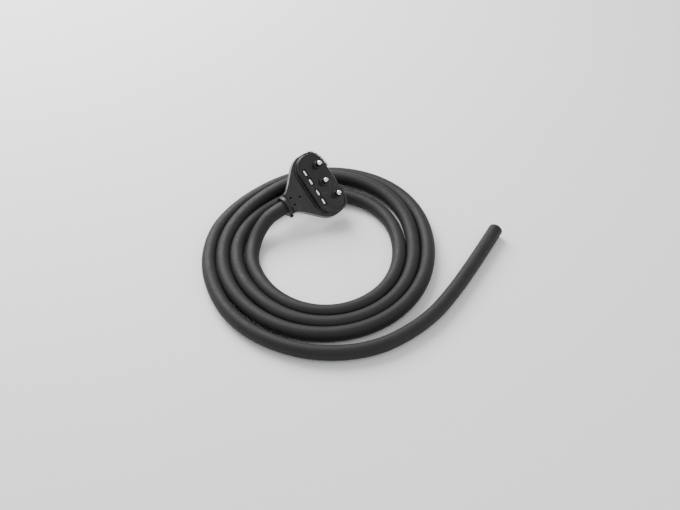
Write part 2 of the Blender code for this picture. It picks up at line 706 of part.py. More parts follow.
def grub_screws(parent, finish):
    """Three set screws, deep in their holes, that pin the adaptor in the neck."""
    low, high, socket = ADAPTOR_R + GAP, PLATE_TOP - 0.0010, 0.0009
    profile = [(0, low), (GRUB_R, low), (GRUB_R, high), (0.0010, high),
               (0.0010, high - socket), (0, high - socket)]
    for i, (x, y) in enumerate(GRUB_PLACES):
        add_object(f"grub_screw_{i + 1}", turned(profile, 12), finish, parent, (x, y, 0))


def shell_screws(parent, finish):
    """Four screws from the back: two into the face shell, two into the sole's pillars."""
    under = -BACK_DEPTH + ROOF - GAP
    tips = [0.0110] * len(NEAR_SCREWS) + [0.0190] * len(SOLE_SCREWS)
    for i, ((x, y), tip) in enumerate(zip(NEAR_SCREWS + SOLE_SCREWS, tips)):
        profile = [(0, under - 0.0020), (SCREW_HEAD_R, under - 0.0020),
                   (SCREW_HEAD_R, under), (SCREW_SHANK_R, under), (SCREW_SHANK_R, tip),
                   (0, tip)]
        add_object(f"shell_screw_{i + 1}", turned(profile, 12), finish, parent, (x, y, 0))


# ------------------------------------------------------------------ assembly
def main():
    clear_scene()
    rubber = material("hose_rubber", (0.036, 0.036, 0.038), 0.72)
    shell = material("shell_plastic", (0.028, 0.028, 0.030), 0.34)
    satin = material("sole_plastic", (0.034, 0.034, 0.036), 0.46)
    black = material("seal_rubber", (0.022, 0.022, 0.022), 0.80)
    bristle = material("bristle_nylon", (0.075, 0.075, 0.078), 0.65)
    steel = material("stainless_steel", (0.72, 0.72, 0.72), 0.16, 1.0)
    screw = material("screw_steel", (0.20, 0.20, 0.21), 0.40, 1.0)

    hose_coil(rubber)
    hose_lead(rubber)
    hose_tail(rubber)

    head = bpy.data.objects.new("head_frame", None)
    bpy.context.scene.collection.objects.link(head)
    head.matrix_world = head_matrix()
    back_shell(head, shell)
    face_shell(head, shell)
    shell_seal(head, black)
    sole_plate(head, satin)
    roller_keeper(head, satin)
    bristle_strips(head, bristle)
    rollers(head, steel)
    ball_casters(head, satin, steel, black)
    hose_adaptor(head, satin, black)
    neck_collar(head, satin, screw)
    grub_screws(head, screw)
    shell_screws(head, screw)
    bpy.context.view_layer.update()


main()
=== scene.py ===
"""Looks of a pool cleaner: a black suction head lying on three turns of thick rubber hose."""

import logging
import math
from dataclasses import dataclass, field
from enum import Enum

import bmesh
import bpy
import numpy as np
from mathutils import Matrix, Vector


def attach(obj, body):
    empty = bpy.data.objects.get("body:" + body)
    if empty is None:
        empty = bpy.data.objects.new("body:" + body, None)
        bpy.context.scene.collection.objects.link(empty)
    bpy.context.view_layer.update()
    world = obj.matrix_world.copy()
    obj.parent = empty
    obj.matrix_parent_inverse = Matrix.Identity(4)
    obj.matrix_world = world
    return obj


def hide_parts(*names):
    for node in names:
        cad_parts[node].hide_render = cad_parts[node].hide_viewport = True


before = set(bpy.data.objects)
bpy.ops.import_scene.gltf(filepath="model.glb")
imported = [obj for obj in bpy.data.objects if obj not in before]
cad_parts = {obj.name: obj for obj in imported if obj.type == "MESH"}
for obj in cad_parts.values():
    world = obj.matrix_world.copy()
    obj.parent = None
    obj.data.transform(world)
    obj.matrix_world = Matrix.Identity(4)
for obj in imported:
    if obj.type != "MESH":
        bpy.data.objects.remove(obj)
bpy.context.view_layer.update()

logging.basicConfig(level=logging.INFO, format="%(message)s")
log = logging.getLogger("pool_cleaner")

Array = np.ndarray
ROOT_BODY = "cleaner"
HOSE_D = 0.025
TAU = math.tau
MERGE = 2e-6                 # points nearer than this become one
EDGE_BREAK = 0.0003          # the small chamfer on a moulded edge
SHARP = 38.0                 # edges that bend more than this, in degrees, stay crisp
SHELL_SHARP = 11.0           # the same for the shells, whose curves have finer steps
FLAT_AREA = 5e-5             # a shell's faces larger than this, in square metres, are flat
BUMP_DISTANCE = 0.0004
BROAD_SHARE = 0.25           # the broad noise's scale as a share of the fine noise's
SHINE_SHARE = 0.35           # how far the shine follows the colour's swing
PATCH_SCALE = 28.0
FLECK_SCALE = 420.0


# ------------------------------------------------------------------ finishes
class Effect(Enum):
    """The shader groups that the finishes share."""

    GRAIN = "fine grain"
    # pale scuff marks, partly wear and partly painted sheen standing in for glossy highlight
    # specks
    SCUFFS_AND_SHEEN = "pale scuffs"


@dataclass(frozen=True)
class Finish:
    """One finish: its plain colour and shine, and how far the surface departs from them."""

    label: str
    slot: str
    colour: tuple[float, float, float]
    roughness: float
    metallic: float = 0.0
    coat: float = 0.0
    specular: float = 0.5
    mottle: float = 0.25
    grain_scale: float = 900.0
    grain_depth: float = 0.3
    swell: float = 0.5
    # pale scuff marks on the colour: partly wear, partly painted sheen that stands in for glossy
    # highlight specks
    scuffs_and_sheen: float = 0.0
    scuff_and_sheen_colour: tuple[float, float, float] = (0.2, 0.2, 0.2)
    scuff_and_sheen_stretch: tuple[float, float, float] = (1.0, 1.0, 1.0)

    def material(self) -> bpy.types.Material:
        """Build the finish once and hand back the same material after that.

        Returns:
            The material, with its grain group and its group of pale scuff marks and painted sheen
            wired to the shader's own sockets.
        """
        known = bpy.data.materials.get(self.label)
        if known:
            return known
        made = bpy.data.materials.new(self.label)
        made.use_nodes = True
        tree = made.node_tree
        shader = tree.nodes["Principled BSDF"]
        shader.inputs["Metallic"].default_value = self.metallic
        shader.inputs["Specular IOR Level"].default_value = self.specular
        shader.inputs["Coat Weight"].default_value = self.coat
        shader.inputs["Coat Roughness"].default_value = 0.12
        place = tree.nodes.new("ShaderNodeTexCoord")
        grain = tree.nodes.new("ShaderNodeGroup")
        grain.node_tree = effect_group(Effect.GRAIN)
        grain.inputs["Colour"].default_value = (*self.colour, 1.0)
        grain.inputs["Roughness"].default_value = self.roughness
        grain.inputs["Mottle"].default_value = self.mottle
        grain.inputs["Scale"].default_value = self.grain_scale
        grain.inputs["Swell"].default_value = self.swell
        scuffs_and_sheen = tree.nodes.new("ShaderNodeGroup")
        scuffs_and_sheen.node_tree = effect_group(Effect.SCUFFS_AND_SHEEN)
        scuffs_and_sheen.inputs["Scuff And Sheen Colour"].default_value = (*self.scuff_and_sheen_colour, 1.0)
        scuffs_and_sheen.inputs["Amount"].default_value = self.scuffs_and_sheen
        stretch = tree.nodes.new("ShaderNodeMapping")
        stretch.inputs["Scale"].default_value = self.scuff_and_sheen_stretch
        bump = tree.nodes.new("ShaderNodeBump")
        bump.inputs["Strength"].default_value = self.grain_depth
        bump.inputs["Distance"].default_value = BUMP_DISTANCE
        tree.links.new(place.outputs["Object"], grain.inputs["Vector"])
        tree.links.new(place.outputs["Object"], stretch.inputs["Vector"])
        tree.links.new(stretch.outputs["Vector"], scuffs_and_sheen.inputs["Vector"])
        tree.links.new(grain.outputs["Colour"], scuffs_and_sheen.inputs["Colour"])
        tree.links.new(grain.outputs["Roughness"], scuffs_and_sheen.inputs["Roughness"])
        tree.links.new(scuffs_and_sheen.outputs["Colour"], shader.inputs["Base Color"])
        tree.links.new(scuffs_and_sheen.outputs["Roughness"], shader.inputs["Roughness"])
        tree.links.new(grain.outputs["Height"], bump.inputs["Height"])
        tree.links.new(bump.outputs["Normal"], shader.inputs["Normal"])
        return made


class Finishes(Enum):
    """Every finish on the cleaner."""

    HOSE = Finish("hose_rubber", "hose", (0.0115, 0.0113, 0.0110), 0.58, specular=0.27,
                  mottle=0.9, grain_scale=720.0, grain_depth=0.7, swell=0.3, scuffs_and_sheen=0.45,
                  scuff_and_sheen_colour=(0.050, 0.050, 0.050), scuff_and_sheen_stretch=(1.0, 1.0, 2.2))
    # the shell's and sole's strong pale scuff marks are partly painted sheen, standing in for
    # glossy highlight specks
    SHELL = Finish("shell_plastic", "shell", (0.0075, 0.0075, 0.0074), 0.20, coat=0.10,
                   specular=0.33, mottle=1.2, grain_scale=260.0, grain_depth=0.5, swell=2.2,
                   scuffs_and_sheen=0.80,
                   scuff_and_sheen_colour=(0.070, 0.068, 0.064), scuff_and_sheen_stretch=(2.0, 0.5, 1.0))
    SOLE = Finish("sole_plastic", "sole", (0.0060, 0.0060, 0.0056), 0.24, coat=0.08,
                  specular=0.27, mottle=1.3, grain_scale=300.0, grain_depth=0.6, swell=2.4,
                  scuffs_and_sheen=1.0,
                  scuff_and_sheen_colour=(0.085, 0.083, 0.072), scuff_and_sheen_stretch=(0.5, 2.0, 1.0))
    CUP = Finish("cup_plastic", "sole", (0.008, 0.008, 0.008), 0.38, specular=0.35, mottle=0.5,
                 grain_scale=700.0, grain_depth=0.2)
    SEAL = Finish("seal_rubber", "seal", (0.008, 0.008, 0.008), 0.75, specular=0.3, mottle=0.3,
                  grain_scale=900.0, grain_depth=0.4)
    BRISTLE = Finish("bristle_nylon", "bristle", (0.24, 0.24, 0.235), 0.45, mottle=0.8,
                     grain_scale=420.0, grain_depth=0.3)
    STEEL = Finish("polished_steel", "steel", (0.86, 0.86, 0.86), 0.17, metallic=1.0, mottle=0.08,
                   grain_scale=1500.0, grain_depth=0.06, scuffs_and_sheen=0.2,
                   scuff_and_sheen_colour=(0.6, 0.6, 0.6))
    SCREW = Finish("screw_steel", "screw", (0.030, 0.030, 0.031), 0.45, metallic=1.0, mottle=0.3,
                   grain_scale=1200.0, grain_depth=0.2)
    FLOOR = Finish("studio_floor", "floor", (0.83, 0.83, 0.83), 0.85, mottle=0.015,
                   grain_scale=4.0, grain_depth=0.0)


def effect_group(effect: Effect) -> bpy.types.NodeTree:
    """Fetch one of the shared shader groups, building it the first time.

    Args:
        effect: which group is wanted.

    Returns:
        The node group.
    """
    known = bpy.data.node_groups.get(effect.value)
    if known:
        return known
    return {Effect.GRAIN: grain_group, Effect.SCUFFS_AND_SHEEN: scuff_and_sheen_group}[effect]()


def new_group(label: str, inputs: dict[str, str], outputs: dict[str, str]) -> bpy.types.NodeTree:
    """Start a shader group with named sockets.

    Args:
        label: the group's name.
        inputs: socket names with their kinds.
        outputs: socket names with their kinds.

    Returns:
        The group, holding only its input and output nodes.
    """
    group = bpy.data.node_groups.new(label, "ShaderNodeTree")
    for name, kind in inputs.items():
        group.interface.new_socket(name, in_out="INPUT", socket_type=kind)
    for name, kind in outputs.items():
        group.interface.new_socket(name, in_out="OUTPUT", socket_type=kind)
    group.nodes.new("NodeGroupInput")
    group.nodes.new("NodeGroupOutput")
    return group


def noise(group: bpy.types.NodeTree, detail: float, roughness: float) -> bpy.types.Node:
    """Add a noise texture to a group.

    Args:
        group: the group to add it to.
        detail: how many octaves.
        roughness: how strong the fine ones are.

    Returns:
        The noise node.
    """
    node = group.nodes.new("ShaderNodeTexNoise")
    node.inputs["Detail"].default_value = detail
    node.inputs["Roughness"].default_value = roughness
    return node


def ranged(group: bpy.types.NodeTree, source: bpy.types.NodeSocket,
           low: float, high: float) -> bpy.types.Node:
    """Stretch a value between two levels to run from 0 to 1.

    Args:
        group: the group to work in.
        source: the socket with the value.
        low: the level that becomes 0.
        high: the level that becomes 1.

    Returns:
        The map range node.
    """
    node = group.nodes.new("ShaderNodeMapRange")
    node.inputs["From Min"].default_value = low
    node.inputs["From Max"].default_value = high
    group.links.new(source, node.inputs["Value"])
    return node


def combined(group: bpy.types.NodeTree, operation: str, first: bpy.types.NodeSocket,
           second: bpy.types.NodeSocket | float) -> bpy.types.NodeSocket:
    """Combine two values.

    Args:
        group: the group to work in.
        operation: the math node's operation.
        first: the first value's socket.
        second: the second value's socket, or a number.

    Returns:
        The result's socket.
    """
    node = group.nodes.new("ShaderNodeMath")
    node.operation = operation
    group.links.new(first, node.inputs[0])
    if isinstance(second, float):
        node.inputs[1].default_value = second
    else:
        group.links.new(second, node.inputs[1])
    return node.outputs[0]


def grain_group() -> bpy.types.NodeTree:
    """Build the moulded grain: two sizes of noise move the colour, shine and height a little.

    Returns:
        A group from Vector, Colour, Roughness, Mottle, Scale and Swell to Colour, Roughness and
        Height.
    """
    group = new_group(
        Effect.GRAIN.value,
        {"Vector": "NodeSocketVector", "Colour": "NodeSocketColor",
         "Roughness": "NodeSocketFloat", "Mottle": "NodeSocketFloat",
         "Scale": "NodeSocketFloat", "Swell": "NodeSocketFloat"},
        {"Colour": "NodeSocketColor", "Roughness": "NodeSocketFloat",
         "Height": "NodeSocketFloat"},
    )
    start = group.nodes["Group Input"]
    end = group.nodes["Group Output"]
    fine = noise(group, 3.0, 0.6)
    broad = noise(group, 2.0, 0.5)
    group.links.new(start.outputs["Vector"], fine.inputs["Vector"])
    group.links.new(start.outputs["Vector"], broad.inputs["Vector"])
    group.links.new(start.outputs["Scale"], fine.inputs["Scale"])
    group.links.new(combined(group, "MULTIPLY", start.outputs["Scale"], BROAD_SHARE),
                    broad.inputs["Scale"])
    both = combined(group, "ADD", fine.outputs["Fac"], broad.outputs["Fac"])
    swing = combined(group, "SUBTRACT", both, 1.0)
    swing = combined(group, "MULTIPLY", swing, start.outputs["Mottle"])
    factor = combined(group, "ADD", swing, 1.0)
    tint = group.nodes.new("ShaderNodeVectorMath")
    tint.operation = "SCALE"
    group.links.new(start.outputs["Colour"], tint.inputs[0])
    group.links.new(factor, tint.inputs["Scale"])
    group.links.new(tint.outputs["Vector"], end.inputs["Colour"])
    shine = combined(group, "MULTIPLY", swing, SHINE_SHARE)
    group.links.new(combined(group, "ADD", shine, start.outputs["Roughness"]),
                    end.inputs["Roughness"])
    swell = combined(group, "MULTIPLY", broad.outputs["Fac"], start.outputs["Swell"])
    group.links.new(combined(group, "ADD", fine.outputs["Fac"], swell), end.inputs["Height"])
    return group


def scuff_and_sheen_group() -> bpy.types.NodeTree:
    """Paint pale scuff marks and sheen specks: sparse patches of stretched noise, broken up by
    finer noise.

    Returns:
        A group from Vector, Colour, Roughness, Scuff Colour and Amount to Colour and Roughness.
    """
    group = new_group(
        Effect.SCUFFS_AND_SHEEN.value,
        {"Vector": "NodeSocketVector", "Colour": "NodeSocketColor",
         "Roughness": "NodeSocketFloat", "Scuff And Sheen Colour": "NodeSocketColor",
         "Amount": "NodeSocketFloat"},
        {"Colour": "NodeSocketColor", "Roughness": "NodeSocketFloat"},
    )
    start = group.nodes["Group Input"]
    end = group.nodes["Group Output"]
    patches = noise(group, 2.0, 0.5)
    patches.inputs["Scale"].default_value = PATCH_SCALE
    flecks = noise(group, 4.0, 0.7)
    flecks.inputs["Scale"].default_value = FLECK_SCALE
    group.links.new(start.outputs["Vector"], patches.inputs["Vector"])
    group.links.new(start.outputs["Vector"], flecks.inputs["Vector"])
    where = ranged(group, patches.outputs["Fac"], 0.45, 0.75)
    broken = ranged(group, flecks.outputs["Fac"], 0.45, 0.70)
    mask = combined(group, "MULTIPLY", where.outputs["Result"], broken.outputs["Result"])
    mask = combined(group, "MULTIPLY", mask, start.outputs["Amount"])
    # the pale scuff colour mixed in here is partly painted sheen
    mix = group.nodes.new("ShaderNodeMix")
    mix.data_type = "RGBA"
    group.links.new(mask, mix.inputs["Factor"])
    group.links.new(start.outputs["Colour"], mix.inputs["A"])
    group.links.new(start.outputs["Scuff And Sheen Colour"], mix.inputs["B"])
    group.links.new(mix.outputs["Result"], end.inputs["Colour"])
    rougher = combined(group, "MULTIPLY", mask, 0.5)
    group.links.new(combined(group, "ADD", rougher, start.outputs["Roughness"]),
                    end.inputs["Roughness"])
    return group


# ------------------------------------------------------------------ surfaces
@dataclass
class Surface:
    """Points with the faces between them; several shells can be added together."""

    points: Array = field(default_factory=lambda: np.zeros((0, 3)))
    quads: Array = field(default_factory=lambda: np.zeros((0, 4), int))
    caps: list[Array] = field(default_factory=list)

    def add(self, other: "Surface") -> "Surface":
        """Join another surface's shells to this one.

        Args:
            other: the surface to add.

        Returns:
            This surface.
        """
        shift = len(self.points)
        self.points = np.concatenate([self.points, other.points])
        self.quads = np.concatenate([self.quads, other.quads + shift])
        self.caps += [cap + shift for cap in other.caps]
        return self

    def moved(self, head: "HeadFrame") -> "Surface":
        """The same surface carried from the head's own axes to the world."""
        return Surface(head.world(self.points), self.quads, self.caps)

    def mesh(self, name: str) -> bpy.types.Mesh:
        """Put the points and faces in a new mesh as they are."""
        mesh = bpy.data.meshes.new(name)
        mesh.from_pydata(self.points.tolist(), [],
                         self.quads.tolist() + [cap.tolist() for cap in self.caps])
        return mesh

    def closed_mesh(self, name: str) -> bpy.types.Mesh:
        """Put closed shells in a new mesh, with seams and poles merged and faces outwards.

        Args:
            name: the mesh's name.

        Returns:
            The mesh.
        """
        mesh = self.mesh(name)
        bm = bmesh.new()
        bm.from_mesh(mesh)
        bmesh.ops.remove_doubles(bm, verts=bm.verts, dist=MERGE)
        bmesh.ops.recalc_face_normals(bm, faces=bm.faces)
        bm.to_mesh(mesh)
        bm.free()
        return mesh


def sheet_of(grid: Array, wrap_rows: bool = False, wrap_columns: bool = True,
             capped: bool = False) -> Surface:
    """Lay faces over a grid of points: each cell between neighbours is a quad.

    Args:
        grid: rows by columns by three coordinates.
        wrap_rows: join the last row to the first.
        wrap_columns: join the last column to the first.
        capped: close the first and last rows with a flat face.

    Returns:
        The surface.
    """
    rows, columns = grid.shape[:2]
    i, j = np.meshgrid(np.arange(rows - (not wrap_rows)),
                       np.arange(columns - (not wrap_columns)), indexing="ij")
    right, below = (j + 1) % columns, (i + 1) % rows
    quads = np.stack([i * columns + j, i * columns + right, below * columns + right,
                      below * columns + j], axis=-1).reshape(-1, 4)
    caps = [np.arange(columns)[::-1], np.arange((rows - 1) * columns, rows * columns)]
    return Surface(grid.reshape(-1, 3), quads, caps if capped else [])


def turned(profile: Array, steps: int = 48, axis: int = 2,
           centre: tuple[float, float, float] = (0, 0, 0)) -> Surface:
    """Carry a profile round an axis: each point's radius times the cosine and sine of the turn.

    Args:
        profile: radius and height of each point, in order, ending on the axis or on itself.
        steps: how many steps round.
        axis: 0, 1 or 2 for X, Y or Z.
        centre: where the axis and height zero lie.

    Returns:
        The closed surface.
    """
    profile = np.asarray(profile, float)
    angle = np.linspace(0, TAU, steps, endpoint=False)
    grid = np.empty((len(profile), steps, 3))
    grid[..., (axis + 1) % 3] = profile[:, :1] * np.cos(angle)
    grid[..., (axis + 2) % 3] = profile[:, :1] * np.sin(angle)
    grid[..., axis] = profile[:, 1:]
    return sheet_of(grid + np.array(centre), wrap_rows=profile[0, 0] > 1e-9)


def rounded_block(centre: Array, half: Array, radius: float, steps: int = 24) -> Surface:
    """A block with round edges: a small sphere pushed out to the corners of a smaller box.

    Args:
        centre: the block's middle.
        half: its half sizes.
        radius: the radius of its edges.
        steps: how many steps round the sphere.

    Returns:
        The closed surface.
    """
    down, across = np.meshgrid(np.linspace(0, math.pi, steps // 2 + 1),
                               np.linspace(0, TAU, steps, endpoint=False) + 0.01, indexing="ij")
    way = np.stack([np.sin(down) * np.cos(across), np.sin(down) * np.sin(across),
                    np.cos(down)], axis=-1)
    inner = np.asarray(half) - radius
    return sheet_of(np.asarray(centre) + np.clip(way * 1e3, -inner, inner) + radius * way)


def arc(radius: float, start: float, end: float, steps: int,
        centre: tuple[float, float] = (0.0, 0.0)) -> Array:
    """Points on an arc: the centre plus the radius times the cosine and sine of each angle.

    Args:
        radius: the arc's radius.
        start: its first angle in degrees.
        end: its last angle in degrees.
        steps: how many steps along it.
        centre: its centre.

    Returns:
        The points, two coordinates each.
    """
    angle = np.radians(np.linspace(start, end, steps + 1))
    return np.stack([centre[0] + radius * np.cos(angle), centre[1] + radius * np.sin(angle)], 1)


def inset(loop: Array, distance: float) -> Array:
    """Move a closed outline inwards, each point along the mean of its two sides' normals.

    Args:
        loop: the outline, counter-clockwise, two coordinates a point.
        distance: how far.

    Returns:
        The moved outline.
    """
    ahead = np.roll(loop, -1, axis=0) - loop
    ahead /= np.linalg.norm(ahead, axis=1)[:, None]
    behind = np.roll(ahead, 1, axis=0)
    inward = np.stack([-ahead[:, 1] - behind[:, 1], ahead[:, 0] + behind[:, 0]], axis=1)
    share = 1 + (ahead * behind).sum(axis=1)
    return loop + distance * inward / share[:, None]


def stacked(loop: Array, levels: Array) -> Surface:
    """A solid whose outline is moved in by a distance at each level.

    Args:
        loop: the outline.
        levels: rows of (level, inset), from one end to the other.

    Returns:
        The closed surface.
    """
    rows = [np.column_stack([inset(loop, by), np.full(len(loop), z)]) for z, by in levels]
    return sheet_of(np.array(rows), capped=True)


def even_loop(points: Array, count: int) -> Array:
    """Share points out evenly along a closed outline.

    Args:
        points: the outline.
        count: how many points to put on it.

    Returns:
        The evenly spaced outline.
    """
    closed = np.vstack([points, points[:1]])
    along = np.concatenate([[0], np.cumsum(np.linalg.norm(np.diff(closed, axis=0), axis=1))])
    at = np.linspace(0, along[-1], count, endpoint=False)
    return np.stack([np.interp(at, along, closed[:, k]) for k in range(2)], axis=1)


def add_piece(name: str, surface: Surface, finish: Finishes, body: str = ROOT_BODY,
              replaces: tuple[str, ...] = (), sharp: float = SHARP) -> bpy.types.Object:
    """Make an object from a surface, dressed and riding on its body.

    Args:
        name: the piece's name.
        surface: its points and faces.
        finish: what it is dressed in.
        body: the body that it rides on.
        replaces: the nodes that it stands for.
        sharp: edges that bend more than this, in degrees, stay crisp.

    Returns:
        The new object.
    """
    mesh = surface.closed_mesh(name)
    mesh.shade_smooth()
    mesh.set_sharp_from_angle(angle=math.radians(sharp))
    mesh.materials.append(finish.value.material())
    piece = bpy.data.objects.new(name, mesh)
    bpy.context.scene.collection.objects.link(piece)
    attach(piece, body)
    if replaces:
        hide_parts(*replaces)
    log.info("%s: %d points on %s", name, len(mesh.vertices), body)
    return piece


def drilled(piece: bpy.types.Object, cutter: Surface) -> None:
    """Cut shells out of a piece for good, and join its own shells as it is cut.

    The large flat faces that are left keep their own normals, so they shade flat.

    Args:
        piece: the piece to cut.
        cutter: closed shells that don't touch each other.
    """
    tool = bpy.data.objects.new("cutter", cutter.closed_mesh("cutter"))
    bpy.context.scene.collection.objects.link(tool)
    change = piece.modifiers.new("holes", "BOOLEAN")
    change.object = tool
    change.operation = "DIFFERENCE"
    change.solver = "EXACT"
    change.use_self = True
    graph = bpy.context.evaluated_depsgraph_get()
    cut = bpy.data.meshes.new_from_object(piece.evaluated_get(graph))
    piece.modifiers.clear()
    piece.data = cut
    cut.shade_smooth()
    cut.set_sharp_from_angle(angle=math.radians(SHELL_SHARP))
    bpy.data.objects.remove(tool, do_unlink=True)
    area = np.empty(len(cut.polygons))
    cut.polygons.foreach_get("area", area)
    cut.polygons.foreach_set("use_smooth", area < FLAT_AREA)


# ------------------------------------------------------------------ the hose
def cubic(values: Array, at: Array) -> Array:
    """A smooth curve through evenly spaced values, flat-ended, its slope half the neighbours' gap.

    Args:
        values: the values, one per whole step.
        at: where to read the curve, in steps.

    Returns:
        The value at each place.
    """
    at = np.clip(at, 0, len(values) - 1)
    i = np.minimum(at.astype(int), len(values) - 2)
    t = at - i
    held = np.concatenate([values[:1], values, values[-1:]])
    before, a, b, after = (held[i + k] for k in range(4))
    slope_a, slope_b = (b - before) / 2, (after - a) / 2
    return (a * (2 * t**3 - 3 * t**2 + 1) + b * (3 * t**2 - 2 * t**3)
            + slope_a * (t**3 - 2 * t**2 + t) + slope_b * (t**3 - t**2))


def smooth_through(points: Array, spacing: float) -> Array:
    """Evenly spaced points on a smooth curve through a route's own points.

    The curve is a cubic between each two points; its direction at a point is the mean of the
    two chords beside it, each weighted by the other's length.

    Args:
        points: the route.
        spacing: the distance between the points handed back.

    Returns:
        The points of the curve.
    """
    step = np.linalg.norm(np.diff(points, axis=0), axis=1)
    knots = np.concatenate([[0], np.cumsum(step)])
    chord = np.diff(points, axis=0) / step[:, None]
    way = np.empty_like(points)
    way[1:-1] = (chord[:-1] * step[1:, None] + chord[1:] * step[:-1, None])
    way[1:-1] /= (step[:-1] + step[1:])[:, None]
    way[0], way[-1] = chord[0], chord[-1]
    fine = np.linspace(0, knots[-1], int(knots[-1] / 0.001))
    i = np.clip(np.searchsorted(knots, fine, side="right") - 1, 0, len(step) - 1)
    t = ((fine - knots[i]) / step[i])[:, None]
    reach = step[i][:, None]
    curve = (points[i] * (2 * t**3 - 3 * t**2 + 1) + points[i + 1] * (3 * t**2 - 2 * t**3)
             + reach * way[i] * (t**3 - 2 * t**2 + t) + reach * way[i + 1] * (t**3 - t**2))
    along = np.concatenate([[0], np.cumsum(np.linalg.norm(np.diff(curve, axis=0), axis=1))])
    at = np.linspace(0, along[-1], int(round(along[-1] / spacing)) + 1)
    return np.stack([np.interp(at, along, curve[:, k]) for k in range(3)], axis=1)


@dataclass
class HeadFrame:
    """The head's own axes: X across, Y from the neck to the far edge, Z out of the sole."""

    mouth: tuple[float, float, float] = (-0.0570, -0.08025, 0.0400)
    yaw: float = math.radians(39.6)
    pitch: float = math.radians(6.0)
    roll: float = math.radians(38.8)

    def axes(self) -> Array:
        """Work out the head's X, Y and Z: level, then turned by yaw, pitch and roll.

        Returns:
            Three unit rows.
        """
        along = np.array([math.cos(self.yaw) * math.cos(self.pitch),
                          math.sin(self.yaw) * math.cos(self.pitch), math.sin(self.pitch)])
        level = np.cross(along, (0, 0, 1))
        level /= np.linalg.norm(level)
        upright = np.cross(level, along)
        across = math.cos(self.roll) * level - math.sin(self.roll) * upright
        out = math.sin(self.roll) * level + math.cos(self.roll) * upright
        return np.array([across, along, out])

    def world(self, points: Array) -> Array:
        """Head points in world metres."""
        return np.asarray(points, float) @ self.axes() + np.array(self.mouth)


